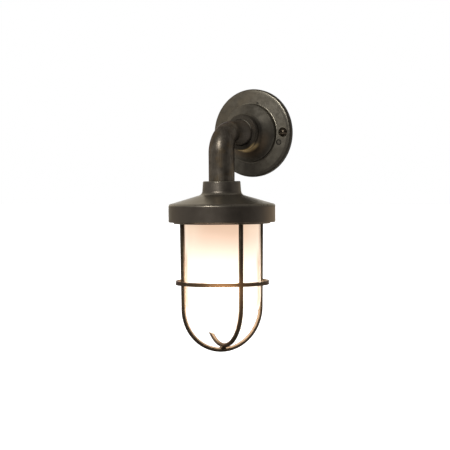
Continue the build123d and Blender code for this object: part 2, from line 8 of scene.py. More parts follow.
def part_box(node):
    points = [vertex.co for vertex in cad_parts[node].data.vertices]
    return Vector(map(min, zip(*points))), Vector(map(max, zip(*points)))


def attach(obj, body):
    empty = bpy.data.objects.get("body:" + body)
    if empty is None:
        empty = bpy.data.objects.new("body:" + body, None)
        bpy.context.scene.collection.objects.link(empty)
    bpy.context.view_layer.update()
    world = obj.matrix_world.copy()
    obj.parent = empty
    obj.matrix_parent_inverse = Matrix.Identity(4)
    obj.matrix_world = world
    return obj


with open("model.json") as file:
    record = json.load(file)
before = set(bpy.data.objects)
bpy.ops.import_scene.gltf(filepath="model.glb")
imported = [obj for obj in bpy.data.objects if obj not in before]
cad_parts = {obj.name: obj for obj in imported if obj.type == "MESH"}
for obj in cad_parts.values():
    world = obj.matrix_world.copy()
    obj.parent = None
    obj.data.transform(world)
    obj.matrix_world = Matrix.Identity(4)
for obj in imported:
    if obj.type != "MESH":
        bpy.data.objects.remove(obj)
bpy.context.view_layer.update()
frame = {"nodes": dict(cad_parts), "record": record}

# Wall gasket: a flat ring stamped from black sponge rubber, which beds the plate's rim on an
# uneven wall. Its cut edge and faces are matt, with the fine closed cells of foamed rubber. The
# two seals at the glass's flange are cut from the same sheet.
node_objects = frame["nodes"]


def add_node(tree, kind, inputs=None, **settings):
    """Adds a node, sets its options, and sets or links its inputs."""
    made = tree.nodes.new(kind)
    for key, value in settings.items():
        setattr(made, key, value)
    for key, value in (inputs or {}).items():
        if isinstance(value, bpy.types.NodeSocket):
            tree.links.new(value, made.inputs[key])
        else:
            made.inputs[key].default_value = value
    return made


def figure(tree, operation, *values):
    """A Math node on numbers or sockets."""
    made = add_node(tree, "ShaderNodeMath", dict(enumerate(values)), operation=operation)
    return made.outputs["Value"]


def product(tree, first, second):
    """Two masks together, or a mask at a share of its strength."""
    return figure(tree, "MULTIPLY", first, second)


def spread(tree, value, low, high, new_low=0.0, new_high=1.0):
    """Maps a value from one span to another with a soft start and end."""
    made = add_node(
        tree,
        "ShaderNodeMapRange",
        {"Value": value, "From Min": low, "From Max": high, "To Min": new_low, "To Max": new_high},
        interpolation_type="SMOOTHSTEP",
    )
    return made.outputs["Result"]


def vary(tree, pattern, low, high):
    """Spreads the usual span of a noise over a range of values."""
    return spread(tree, pattern, 0.3, 0.7, low, high)


def tint(tree, share, first, second):
    """Mixes two colours, each given as a socket or as red, green and blue."""
    made = add_node(tree, "ShaderNodeMix", data_type="RGBA")
    sockets = (made.inputs[0], made.inputs[6], made.inputs[7])
    for socket, value in zip(sockets, (share, first, second)):
        if isinstance(value, bpy.types.NodeSocket):
            tree.links.new(value, socket)
        else:
            socket.default_value = value if socket is sockets[0] else (*value, 1.0)
    return made.outputs[2]


def object_place(tree):
    """The point on the piece, in metres in the shared frame."""
    return add_node(tree, "ShaderNodeTexCoord").outputs["Object"]


def noise(tree, size, detail=3.0, roughness=0.55, place=None):
    """Noise whose lumps are about the given size, in metres."""
    settings = {"Scale": 1.0 / size, "Detail": detail, "Roughness": roughness}
    settings["Vector"] = place or object_place(tree)
    return add_node(tree, "ShaderNodeTexNoise", settings).outputs["Fac"]


def new_finish(name):
    """A material with its tree and its Principled shader."""
    made = bpy.data.materials.new(name)
    made.use_nodes = True
    tree = made.node_tree
    shader = next(n for n in tree.nodes if n.type == "BSDF_PRINCIPLED")
    return made, tree, shader


def feed(tree, node, **values):
    """Links or sets a node's inputs, with base_color for the one called Base Color."""
    for key, value in values.items():
        socket = node.inputs[key.replace("_", " ").title()]
        if isinstance(value, bpy.types.NodeSocket):
            tree.links.new(value, socket)
        else:
            socket.default_value = (*value, 1.0) if isinstance(value, tuple) else value


def raise_surface(tree, shader, height, distance):
    """Feeds a height pattern to a shader's normal."""
    bump = add_node(tree, "ShaderNodeBump", {"Height": height, "Distance": distance})
    tree.links.new(bump.outputs["Normal"], shader.inputs["Normal"])


def dress(finish, *names):
    """Gives CAD nodes their finish."""
    for name in names:
        for slot in node_objects[name].material_slots:
            slot.material = finish


rubber_black, rubber_bloom = (0.018, 0.018, 0.018), (0.045, 0.043, 0.04)
cell_size, cell_depth, bloom_size = 0.0006, 0.0001, 0.009
gasket_rubber, tree, shader = new_finish("gasket_rubber")
cells = noise(tree, cell_size, detail=2.0)
bloom = noise(tree, bloom_size, detail=4.0)
feed(
    tree,
    shader,
    base_color=tint(tree, bloom, rubber_black, rubber_bloom),
    roughness=vary(tree, cells, 0.75, 0.95),
)
raise_surface(tree, shader, cells, cell_depth)
dress(gasket_rubber, "wall_gasket", "canopy_gasket", "glass_gasket")

# Wall plate: a sand casting in brass, turned on its face and then darkened chemically, so it is
# brown-black with lighter rubbed edges and dull coves. Painted light lightens the lower right of
# the face and the upper left of the boss; painted shade darkens the boss's right side, the rim's
# outer edge and the neck's right side; and the rim's upper right and the boss's foot carry painted
# highlights. Under the neck it is painted a lighter brown and a ring of gold, and one casting pit
# shows above the boss.


def compare(tree, operation, first, second):
    """The distance between two points, or the dot product of two directions."""
    made = add_node(tree, "ShaderNodeVectorMath", {0: first, 1: second}, operation=operation)
    return made.outputs["Value"]


def aged_brass_group():
    """Patina over brass: mottled browns, rubbed edges, dull crevices and a fine grain."""
    cloud_size, crevice_reach, samples = 0.028, 0.005, 6
    group = bpy.data.node_groups.new("aged_brass", "ShaderNodeTree")
    face = group.interface
    for name in ("Dark", "Brown", "Rubbed", "Crevice"):
        face.new_socket(name, in_out="INPUT", socket_type="NodeSocketColor")
    for name in ("Mottle Size", "Rub", "Edge Width", "Grain Size", "Polish"):
        face.new_socket(name, in_out="INPUT", socket_type="NodeSocketFloat")
    face.new_socket("Color", in_out="OUTPUT", socket_type="NodeSocketColor")
    for name in ("Roughness", "Height"):
        face.new_socket(name, in_out="OUTPUT", socket_type="NodeSocketFloat")
    given = group.nodes.new("NodeGroupInput").outputs
    result = group.nodes.new("NodeGroupOutput").inputs
    place = object_place(group)

    def lumps(size, detail, roughness):
        scale = figure(group, "DIVIDE", 1.0, size)
        settings = {"Vector": place, "Scale": scale, "Detail": detail, "Roughness": roughness}
        return add_node(group, "ShaderNodeTexNoise", settings).outputs["Fac"]

    mottle = lumps(given["Mottle Size"], detail=5.0, roughness=0.58)
    grain = lumps(given["Grain Size"], detail=4.0, roughness=0.62)
    cloud = noise(group, cloud_size, detail=2.0, roughness=0.5, place=place)
    surface = group.nodes.new("ShaderNodeNewGeometry").outputs["Normal"]
    eased = add_node(group, "ShaderNodeBevel", {"Radius": given["Edge Width"]}, samples=samples)
    agreement = compare(group, "DOT_PRODUCT", surface, eased.outputs["Normal"])
    edge = spread(group, agreement, 0.995, 0.86)
    edge = product(group, edge, spread(group, mottle, 0.25, 0.6, 0.4, 1.0))
    hollow = add_node(
        group,
        "ShaderNodeAmbientOcclusion",
        {"Distance": crevice_reach},
        samples=samples,
        only_local=True,
    )
    crevice = spread(group, hollow.outputs["AO"], 0.7, 0.25)
    blotch = vary(group, mottle, 0.0, 1.0)
    worn_cloud = spread(group, cloud, 0.45, 0.75, 0.0, 0.12)
    speck = spread(group, grain, 0.6, 0.78, 0.0, 0.3)
    colour = tint(group, blotch, given["Dark"], given["Brown"])
    colour = tint(group, worn_cloud, colour, given["Rubbed"])
    colour = tint(group, speck, colour, given["Crevice"])
    colour = tint(group, product(group, edge, given["Rub"]), colour, given["Rubbed"])
    colour = tint(group, product(group, crevice, 0.5), colour, given["Crevice"])
    group.links.new(colour, result["Color"])
    rough = figure(group, "ADD", given["Polish"], product(group, blotch, 0.05))
    rough = figure(group, "ADD", rough, product(group, crevice, 0.15))
    rough = figure(group, "SUBTRACT", rough, product(group, edge, 0.1))
    group.links.new(rough, result["Roughness"])
    group.links.new(figure(group, "ADD", grain, product(group, mottle, 1.5)), result["Height"])
    return group


aged_brass = aged_brass_group()


def brass_finish(name, relief, edge_sheen=(0.8, 0.74, 0.66), **values):
    """A material of aged brass with its own browns, wear, grain and sheen at a slant."""
    finish, tree, shader = new_finish(name)
    patina = add_node(tree, "ShaderNodeGroup", node_tree=aged_brass)
    feed(tree, patina, **values)
    feed(
        tree,
        shader,
        base_color=patina.outputs["Color"],
        roughness=patina.outputs["Roughness"],
        metallic=0.8,
        specular_tint=edge_sheen,
    )
    shader.inputs["Specular IOR Level"].default_value = 0.4
    raise_surface(tree, shader, patina.outputs["Height"], relief)
    return finish, tree, shader, patina


def lighten_and_smooth(tree, shader, patina, colour, mask, metal, share, shine):
    """Mixes in lighter metal where a mask is one, both for rubbed wear and for painted highlights:
    its colour in part, and a smoother surface.
    """
    smoother = figure(tree, "SUBTRACT", patina.outputs["Roughness"], product(tree, mask, shine))
    worn = tint(tree, product(tree, mask, share), colour, metal)
    feed(tree, shader, base_color=worn, roughness=smoother)


def within(tree, value, low, high, soft):
    """One inside a span of values and nought outside it, with soft ends."""
    rise = spread(tree, value, low - soft, low + soft)
    return product(tree, rise, spread(tree, value, high + soft, high - soft))


def along(tree, axis):
    """One coordinate of the point on the piece, in metres."""
    return add_node(tree, "ShaderNodeSeparateXYZ", {"Vector": object_place(tree)}).outputs[axis]


def flattened(tree):
    """The point on the piece, moved square to the wall into the wall's plane."""
    in_plane = {0: object_place(tree), 1: (1.0, 0.0, 1.0)}
    return add_node(tree, "ShaderNodeVectorMath", in_plane, operation="MULTIPLY").outputs["Vector"]


def from_line(tree, point):
    """The distance from the line through a point of the wall's plane, square to the wall."""
    return compare(tree, "DISTANCE", flattened(tree), point)


def sector(tree, towards, low, high, share=1.0):
    """Rises to a share on the side towards a bearing, from one cosine to another."""
    ray = add_node(tree, "ShaderNodeVectorMath", {0: flattened(tree)}, operation="NORMALIZE")
    cosine = compare(tree, "DOT_PRODUCT", ray.outputs["Vector"], towards)
    return spread(tree, cosine, low, high, 0.0, share)


plate_finish, tree, shader, patina = brass_finish(
    "plate_brass",
    relief=0.00004,
    edge_sheen=(0.5, 0.46, 0.41),
    dark=(0.086, 0.076, 0.061),
    brown=(0.134, 0.12, 0.099),
    rubbed=(0.3, 0.265, 0.2),
    crevice=(0.062, 0.053, 0.042),
    mottle_size=0.005,
    rub=0.75,
    edge_width=0.0008,
    grain_size=0.0011,
    polish=0.4,
)
plate_centre = (0.0, 0.0, 0.0)
from_axis = from_line(tree, plate_centre)

# Painted light: the lower right of the plate's face is painted a lighter brown.
painted_light_brown, lit_side_bearing = (0.22, 0.195, 0.155), (0.64, 0.0, -0.77)
plate_painted_light = sector(tree, lit_side_bearing, 0.55, 1.0, share=0.28)
colour = tint(tree, plate_painted_light, patina.outputs["Color"], painted_light_brown)

warm_brown, warm_bearing = (0.155, 0.129, 0.094), (-0.9, 0.0, 0.43)
warm_span, warm_patch_size = (-0.01, 0.03), 0.016
warm_way = compare(tree, "DOT_PRODUCT", flattened(tree), warm_bearing)
warm_patch = noise(tree, warm_patch_size, detail=4.0, roughness=0.6)
warm_patch = spread(tree, warm_patch, 0.35, 0.65, 0.25, 1.0)
warm_side = product(tree, spread(tree, warm_way, *warm_span, 0.0, 0.9), warm_patch)
colour = tint(tree, warm_side, colour, warm_brown)

# Painted light lightens the boss's upper left, and painted shade darkens its right side.
boss_edge = (0.0297, 0.0287)
painted_shade_brown, shade_bearing = (0.05, 0.044, 0.037), (0.94, 0.0, -0.34)
boss_lit_bearing = (-0.707, 0.0, 0.707)
boss = spread(tree, from_axis, *boss_edge)
boss_painted_light = product(tree, boss, sector(tree, boss_lit_bearing, 0.65, 0.97, share=0.28))
boss_painted_shade = product(tree, boss, sector(tree, shade_bearing, 0.4, 1.0, share=0.6))
colour = tint(tree, boss_painted_light, colour, painted_light_brown)
colour = tint(tree, boss_painted_shade, colour, painted_shade_brown)

# Painted shade darkens the rim's lower right and its outer edge all round, and the neck's right
# side.
rim_start, rim_turn = (0.0405, 0.0415), (0.0441, 0.0452)
neck_end, neck_bearing = (0.0225, 0.0205), (0.97, 0.0, 0.25)
rim_painted_shade = sector(tree, shade_bearing, 0.2, 0.85, share=0.65)
rim_painted_shade = product(tree, rim_painted_shade, spread(tree, from_axis, *rim_start))
rim_painted_shade = figure(tree, "MAXIMUM", rim_painted_shade, spread(tree, from_axis, *rim_turn, 0.0, 0.7))
neck_painted_shade = sector(tree, neck_bearing, 0.5, 0.95, share=0.5)
neck_painted_shade = product(tree, neck_painted_shade, spread(tree, from_axis, *neck_end))
colour = tint(tree, figure(tree, "MAXIMUM", rim_painted_shade, neck_painted_shade), colour, painted_shade_brown)

# Below the neck, on its lower side, the plate is painted a lighter brown and, nearer the neck,
# gold.
neck_underside_brown, gold_bearing = (0.17, 0.12, 0.075), (0.342, 0.0, -0.94)
neck_underside_ring, neck_underside_soft = (0.0178, 0.0255), 0.003
rubbed = within(tree, from_axis, *neck_underside_ring, neck_underside_soft)
rubbed = product(tree, rubbed, sector(tree, gold_bearing, 0.1, 0.8, share=0.6))
colour = tint(tree, rubbed, colour, neck_underside_brown)

bead_shade, bead_back = (0.062, 0.052, 0.042), (-0.0229, -0.0235)
colour = tint(tree, spread(tree, along(tree, "Y"), *bead_back, 0.0, 0.8), colour, bead_shade)

gold_colour = (1.0, 0.72, 0.35)
gold_ring, gold_soft = (0.0182, 0.0198), 0.0014
gold = within(tree, from_axis, *gold_ring, gold_soft)
gold = product(tree, gold, sector(tree, gold_bearing, 0.78, 0.97, share=0.95))
colour = tint(tree, gold, colour, gold_colour)

stud_low, stud_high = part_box("earth_stud")
stud_axis = ((stud_low[0] + stud_high[0]) / 2, 0.0, (stud_low[2] + stud_high[2]) / 2)
stud_radius = (stud_high[2] - stud_low[2]) / 2
groove_colour, groove_soft = (0.016, 0.015, 0.013), 0.0002
groove_ring = (0.88 * stud_radius, 1.3 * stud_radius)
groove = within(tree, from_line(tree, stud_axis), *groove_ring, groove_soft)
colour = tint(tree, product(tree, groove, 0.95), colour, groove_colour)

pit_colour, pit_place = (0.012, 0.01, 0.008), (0.0078, -0.0067, 0.0302)
pit_radius, pit_floor = 0.0017, 0.00102
pit_gap = compare(tree, "DISTANCE", object_place(tree), pit_place)
colour = tint(tree, spread(tree, pit_gap, pit_radius, pit_floor), colour, pit_colour)

# Painted highlights: a light, smoother line on the rim's upper right and a light ring round the
# boss's foot.
painted_highlight_metal, rim_highlight_bearing = (0.3, 0.27, 0.215), (0.53, 0.0, 0.848)
rim_highlight_ring, rim_highlight_soft = (0.0425, 0.0443), 0.0005
foot_highlight_ring, foot_highlight_soft = (0.0302, 0.0312), 0.0003
rim_painted_highlight = within(tree, from_axis, *rim_highlight_ring, rim_highlight_soft)
rim_painted_highlight = product(tree, rim_painted_highlight, sector(tree, rim_highlight_bearing, 0.75, 0.95))
foot_painted_highlight = within(tree, from_axis, *foot_highlight_ring, foot_highlight_soft)
highlight_mask = figure(tree, "MAXIMUM", rim_painted_highlight, foot_painted_highlight)
lighten_and_smooth(tree, shader, patina, colour, highlight_mask, painted_highlight_metal, share=0.45, shine=0.06)
dress(plate_finish, "wall_plate")

# Wall screws and earth stud: turned brass round-heads with a milled slot, browned darker than the
# plate, whose rolled threads stand behind it, and a riveted stud filed flush with the plate, so
# that only the dark line of its joint shows.
screw_finish, tree, shader, patina = brass_finish(
    "screw_brass",
    relief=0.00003,
    dark=(0.03, 0.022, 0.016),
    brown=(0.05, 0.037, 0.027),
    rubbed=(0.2, 0.165, 0.115),
    crevice=(0.012, 0.01, 0.008),
    mottle_size=0.002,
    rub=0.3,
    edge_width=0.0003,
    grain_size=0.0006,
    polish=0.25,
)
# The slot is painted with a dark shadow, and its lower lip with a light painted highlight.
slot_shadow, slot_lip_highlight = (0.008, 0.006, 0.005), (0.36, 0.28, 0.2)
slot_span, lip_span, slot_soft = (-0.0004, 0.0006), (-0.0012, -0.0006), 0.0001
height = along(tree, "Z")
in_slot = within(tree, height, *slot_span, slot_soft)
on_lip = within(tree, height, *lip_span, slot_soft)
colour = tint(tree, in_slot, patina.outputs["Color"], slot_shadow)
lighten_and_smooth(tree, shader, patina, colour, on_lip, slot_lip_highlight, share=0.9, shine=0.1)
dress(screw_finish, "plate_screws")


def shape_tree(name, **inputs):
    """A Geometry Nodes tree with named inputs, and its two ends."""
    tree = bpy.data.node_groups.new(name, "GeometryNodeTree")
    for key, kind in inputs.items():
        title = key.replace("_", " ").title()
        tree.interface.new_socket(title, in_out="INPUT", socket_type="NodeSocket" + kind)
    tree.interface.new_socket("Shape", in_out="OUTPUT", socket_type="NodeSocketGeometry")
    given = tree.nodes.new("NodeGroupInput").outputs
    return tree, given, tree.nodes.new("NodeGroupOutput").inputs


def close_tree(tree, given, result, instances, smooth):
    """Ends a tree in real geometry with its material."""
    real = add_node(tree, "GeometryNodeRealizeInstances", {"Geometry": instances})
    shaded = add_node(
        tree,
        "GeometryNodeSetShadeSmooth",
        {"Geometry": real.outputs["Geometry"], "Shade Smooth": smooth},
    )
    painted = add_node(
        tree,
        "GeometryNodeSetMaterial",
        {"Geometry": shaded.outputs["Geometry"], "Material": given["Material"]},
    )
    tree.links.new(painted.outputs["Geometry"], result["Shape"])


def make_shape(tree, name, body, slot, **values):
    """Runs a tree with these values and keeps the result as a plain mesh on a body."""
    mesh = bpy.data.meshes.new(name)
    piece = bpy.data.objects.new(name, mesh)
    bpy.context.scene.collection.objects.link(piece)
    modifier = piece.modifiers.new("shape", "NODES")
    modifier.node_group = tree
    given = (item for item in tree.interface.items_tree if item.in_out == "INPUT")
    sockets = {item.name: item.identifier for item in given}
    for key, value in values.items():
        modifier[sockets[key.replace("_", " ").title()]] = value
    shown = piece.evaluated_get(bpy.context.evaluated_depsgraph_get())
    solid = bpy.data.meshes.new_from_object(shown)
    piece.modifiers.clear()
    piece.data = solid
    bpy.data.meshes.remove(mesh)
    solid.name = name
    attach(piece, body)


thread_tree, given, result = shape_tree(
    "thread_ridge",
    radius="Float",
    pitch="Float",
    turns="Float",
    depth="Float",
    start="Vector",
    step="Vector",
    count="Int",
    axis_turn="Vector",
    material="Material",
)
ridge_points_per_turn, ridge_corners = 48, 4
ridge_line = add_node(
    thread_tree,
    "GeometryNodeCurveSpiral",
    {
        "Resolution": ridge_points_per_turn,
        "Rotations": given["Turns"],
        "Start Radius": given["Radius"],
        "End Radius": given["Radius"],
        "Height": product(thread_tree, given["Pitch"], given["Turns"]),
    },
).outputs["Curve"]
ridge_line = add_node(
    thread_tree, "GeometryNodeSetCurveNormal", {"Curve": ridge_line}, mode="Z_UP"
).outputs["Curve"]
ridge_section = add_node(
    thread_tree,
    "GeometryNodeCurvePrimitiveCircle",
    {"Resolution": ridge_corners, "Radius": given["Depth"]},
    mode="RADIUS",
).outputs["Curve"]
ridge = add_node(
    thread_tree,
    "GeometryNodeCurveToMesh",
    {"Curve": ridge_line, "Profile Curve": ridge_section, "Fill Caps": True},
).outputs["Mesh"]
ridge_places = add_node(
    thread_tree,
    "GeometryNodeMeshLine",
    {"Count": given["Count"], "Start Location": given["Start"], "Offset": given["Step"]},
    mode="OFFSET",
).outputs["Mesh"]
ridge_turn = add_node(
    thread_tree, "FunctionNodeEulerToRotation", {"Euler": given["Axis Turn"]}
).outputs["Rotation"]
ridges = add_node(
    thread_tree,
    "GeometryNodeInstanceOnPoints",
    {"Points": ridge_places, "Instance": ridge, "Rotation": ridge_turn},
).outputs["Instances"]
close_tree(thread_tree, given, result, ridges, smooth=False)

wall_mount = next(m for m in frame["record"]["mounts"] if m["name"] == "wall_screws")
screw_spacing = wall_mount["dims"]["pcd_mm"] / 1000
screw_thread_radius = wall_mount["dims"]["stud_r_mm"] / 1000
screw_thread_start = 0.0006
make_shape(
    thread_tree,
    "screw_threads",
    "fixture",
    "screw_brass",
    radius=screw_thread_radius,
    pitch=0.0007,
    turns=8.5,
    depth=0.00022,
    start=(-screw_spacing / 2, screw_thread_start, 0.0),
    step=(screw_spacing, 0.0, 0.0),
    count=2,
    axis_turn=(-math.pi / 2, 0.0, 0.0),
    material=screw_finish,
)

stud_finish, tree, shader, patina = brass_finish(
    "stud_brass",
    relief=0.00003,
    dark=(0.1, 0.088, 0.072),
    brown=(0.13, 0.115, 0.095),
    rubbed=(0.2, 0.175, 0.13),
    crevice=(0.04, 0.034, 0.026),
    mottle_size=0.003,
    rub=0.2,
    edge_width=0.0003,
    grain_size=0.0008,
    polish=0.42,
)
joint_span = (0.8 * stud_radius, 0.95 * stud_radius)
joint = spread(tree, from_line(tree, stud_axis), *joint_span, 0.0, 0.8)
feed(tree, shader, base_color=tint(tree, joint, patina.outputs["Color"], groove_colour))
dress(stud_finish, "earth_stud")

# Elbow and its lock nut: a hollow brass casting that flares at its root, bends through a right
# angle and swells towards the canopy. It is filed and buffed before it is darkened, so it is the
# smoothest casting. The nut behind the plate is plain turned brass and has stayed bright.
elbow_finish, tree, shader, patina = brass_finish(
    "elbow_brass",
    relief=0.00003,
    edge_sheen=(0.26, 0.235, 0.21),
    dark=(0.078, 0.065, 0.052),
    brown=(0.13, 0.11, 0.09),
    rubbed=(0.27, 0.23, 0.17),
    crevice=(0.04, 0.034, 0.026),
    mottle_size=0.007,
    rub=0.7,
    edge_width=0.0007,
    grain_size=0.0013,
    polish=0.35,
)
amber, amber_size = (0.135, 0.094, 0.05), 0.011
amber_patch = noise(tree, amber_size, detail=4.0, roughness=0.6)
amber_patch = spread(tree, amber_patch, 0.5, 0.72, 0.0, 0.55)
colour = tint(tree, amber_patch, patina.outputs["Color"], amber)

arm_brown, arm_start = (0.165, 0.142, 0.12), (-0.052, -0.04)
depth = along(tree, "Y")
colour = tint(tree, spread(tree, depth, *arm_start, 0.0, 0.6), colour, arm_brown)

# Painted highlight: a thin bright line round the root's edge, on its upper right only.
root_highlight_metal, root_highlight_bearing = (0.75, 0.7, 0.6), (0.64, 0.0, 0.77)
root_span, root_soft = (-0.03, -0.0282), 0.0003
root_painted_highlight = within(tree, depth, *root_span, root_soft)
root_painted_highlight = product(tree, root_painted_highlight, sector(tree, root_highlight_bearing, 0.75, 0.98))
colour = tint(tree, root_painted_highlight, colour, root_highlight_metal)

wipe_metal = (0.2, 0.176, 0.143)
wipe_width, wipe_stretch = 0.0016, (1.0, 1.0, 0.14)
drawn_out = {"Vector": object_place(tree), "Scale": wipe_stretch}
drawn_out = add_node(tree, "ShaderNodeMapping", drawn_out).outputs["Vector"]
wipe = noise(tree, wipe_width, detail=3.0, roughness=0.6, place=drawn_out)
wipe = spread(tree, wipe, 0.5, 0.72)
lighten_and_smooth(tree, shader, patina, colour, wipe, wipe_metal, share=0.5, shine=0.07)
dress(elbow_finish, "elbow")


def turned_metal(name, base, dulled, line_spacing, tarnish_size, polish):
    """A bright turned metal: lathe lines round the axis and clouds of tarnish."""
    line_scale, line_depth = 0.16 / line_spacing, 0.00002
    finish, tree, shader = new_finish(name)
    place = object_place(tree)
    waver = {"Distortion": 1.5, "Detail": 2.0, "Detail Scale": 2.0}
    lathe = add_node(
        tree,
        "ShaderNodeTexWave",
        {"Vector": place, "Scale": line_scale, **waver},
        wave_type="BANDS",
        bands_direction="Z",
    ).outputs["Fac"]
    tarnish = noise(tree, tarnish_size, detail=5.0, roughness=0.6, place=place)
    feed(
        tree,
        shader,
        base_color=tint(tree, spread(tree, tarnish, 0.35, 0.75), base, dulled),
        roughness=spread(tree, tarnish, 0.3, 0.8, polish, polish + 0.2),
        metallic=1.0,
    )
    raise_surface(tree, shader, lathe, line_depth)
    return finish


inner_brass = turned_metal(
    "inner_brass",
    base=(0.62, 0.46, 0.2),
    dulled=(0.36, 0.23, 0.09),
    line_spacing=0.0004,
    tarnish_size=0.004,
    polish=0.24,
)
dress(inner_brass, "elbow_locknut")

# Wiring hall behind the plate: a glazed porcelain terminal block on one zinc-plated screw, two
# brass clamp screws for the supply, and the earth stud's brass nut.


def glazed_porcelain():
    """White ware under a clear glaze, with faint specks and the waviness of the glaze."""
    ware, pale_ware, speck_brown = (0.8, 0.78, 0.72), (0.86, 0.85, 0.8), (0.45, 0.38, 0.3)
    cloud_size, speck_size, ripple_size, ripple_depth = 0.012, 0.0009, 0.003, 0.00006
    finish, tree, shader = new_finish("porcelain")
    body = tint(tree, noise(tree, cloud_size), ware, pale_ware)
    speck = spread(tree, noise(tree, speck_size, detail=2.0), 0.68, 0.76, 0.0, 0.5)
    ripple = noise(tree, ripple_size, detail=2.0)
    feed(
        tree,
        shader,
        base_color=tint(tree, speck, body, speck_brown),
        roughness=vary(tree, ripple, 0.08, 0.2),
        coat_weight=0.5,
    )
    raise_surface(tree, shader, ripple, ripple_depth)
    return finish


def zinc_plate():
    """Bright zinc with the patches of its crystals and a faint yellow bloom."""
    zinc, pale_zinc, yellow = (0.5, 0.5, 0.51), (0.66, 0.66, 0.66), (0.6, 0.55, 0.38)
    crystal_scale, bloom_size, grain_size, grain_depth = 420.0, 0.006, 0.0004, 0.00001
    finish, tree, shader = new_finish("zinc_steel")
    crystals = {"Vector": object_place(tree), "Scale": crystal_scale}
    crystals = add_node(tree, "ShaderNodeTexVoronoi", crystals).outputs["Color"]
    shade = add_node(tree, "ShaderNodeSeparateXYZ", {"Vector": crystals}).outputs["X"]
    bloom = spread(tree, noise(tree, bloom_size, detail=4.0), 0.45, 0.8, 0.0, 0.35)
    feed(
        tree,
        shader,
        base_color=tint(tree, bloom, tint(tree, shade, zinc, pale_zinc), yellow),
        roughness=spread(tree, shade, 0.0, 1.0, 0.28, 0.42),
        metallic=1.0,
    )
    raise_surface(tree, shader, noise(tree, grain_size), grain_depth)
    return finish


porcelain = glazed_porcelain()
zinc_steel = zinc_plate()
dress(porcelain, "terminal_block")
dress(zinc_steel, "block_screw")
dress(inner_brass, "terminal_clamp_screws", "earth_nut")

# Canopy: a brass casting with a collar, a shallow cone and an upright band, turned smooth and
# darkened, with a paler cone and a browner band. Painted light makes the band's ends lighter and
# its right end warmer, and the top corners of the band and collar are painted lighter, partly as
# rubbed wear and partly as a painted highlight.
# A brass washer and nut clamp it to the elbow.
canopy_finish, tree, shader, patina = brass_finish(
    "canopy_brass",
    relief=0.00003,
    edge_sheen=(0.48, 0.45, 0.39),
    dark=(0.1, 0.085, 0.07),
    brown=(0.126, 0.108, 0.09),
    rubbed=(0.25, 0.215, 0.165),
    crevice=(0.04, 0.034, 0.026),
    mottle_size=0.007,
    rub=0.7,
    edge_width=0.0007,
    grain_size=0.0012,
)
height = along(tree, "Z")
# The band's and the collar's top corners are painted lighter and smoother, partly as rubbed wear
# and partly as a painted highlight.
band_corner, band_corner_soft = (-0.0739, -0.0723), 0.0005
band_corner_highlight = within(tree, height, *band_corner, band_corner_soft)

band_brown, band_start = (0.074, 0.06, 0.049), (-0.0737, -0.0757)
band = spread(tree, height, *band_start, 0.0, 0.55)
colour = tint(tree, band, patina.outputs["Color"], band_brown)

# Painted light: the band's two ends, left and right as the camera sees them, are painted lighter,
# the right end warmer.
rightwards = (0.8616, 0.5075, 0.0)
breadth = compare(tree, "DOT_PRODUCT", object_place(tree), rightwards)
right_lit_brown, right_lit_span = (0.27, 0.2, 0.135), (0.0, 0.018)
band_right_painted_light = product(tree, spread(tree, breadth, *right_lit_span), band)
colour = tint(tree, band_right_painted_light, colour, right_lit_brown)

left_lit_brown, left_lit_span, left_lit_soft = (0.125, 0.104, 0.084), (-0.081, -0.066), 0.004
band_left_painted_light = product(tree, within(tree, breadth, *left_lit_span, left_lit_soft), band)
colour = tint(tree, band_left_painted_light, colour, left_lit_brown)

# Painted highlight: the band's top corner is painted paler still towards its left end.
left_corner_highlight_metal, left_corner_highlight_span = (0.34, 0.3, 0.24), (-0.048, -0.064)
left_corner_highlight = product(tree, band_corner_highlight, spread(tree, breadth, *left_corner_highlight_span, 0.0, 0.6))
colour = tint(tree, left_corner_highlight, colour, left_corner_highlight_metal)

cone_brown, cone_span, cone_soft = (0.2, 0.175, 0.14), (-0.0719, -0.0615), 0.0006
canopy_polish, cone_polish = 0.39, 0.29
cone = within(tree, height, *cone_span, cone_soft)
feed(tree, patina, polish=spread(tree, cone, 0.0, 1.0, canopy_polish, cone_polish))
colour = tint(tree, product(tree, cone, 0.8), colour, cone_brown)

corner_highlight_metal = (0.24, 0.215, 0.17)
collar_corner, collar_corner_soft = (-0.0505, -0.049), 0.0003
collar_corner_highlight = within(tree, height, *collar_corner, collar_corner_soft)
highlight_mask = figure(tree, "MAXIMUM", band_corner_highlight, collar_corner_highlight)
lighten_and_smooth(tree, shader, patina, colour, highlight_mask, corner_highlight_metal, share=0.4, shine=0.12)
dress(canopy_finish, "canopy")
dress(inner_brass, "canopy_washer", "canopy_locknut")

# Lampholder: a zinc-plated bracket screwed up under the canopy carries a porcelain cup, which
# holds the brass screw shell and the sprung centre contact. Two steel screws hold the cup.
dress(zinc_steel, "holder_bracket", "bracket_screws", "holder_screws")
dress(porcelain, "lampholder_base")
dress(inner_brass, "lampholder_shell", "centre_contact")

# Leads: two heatproof wires from the block through the elbow to the lampholder, sleeved in braid,
# brown for live and blue for neutral.


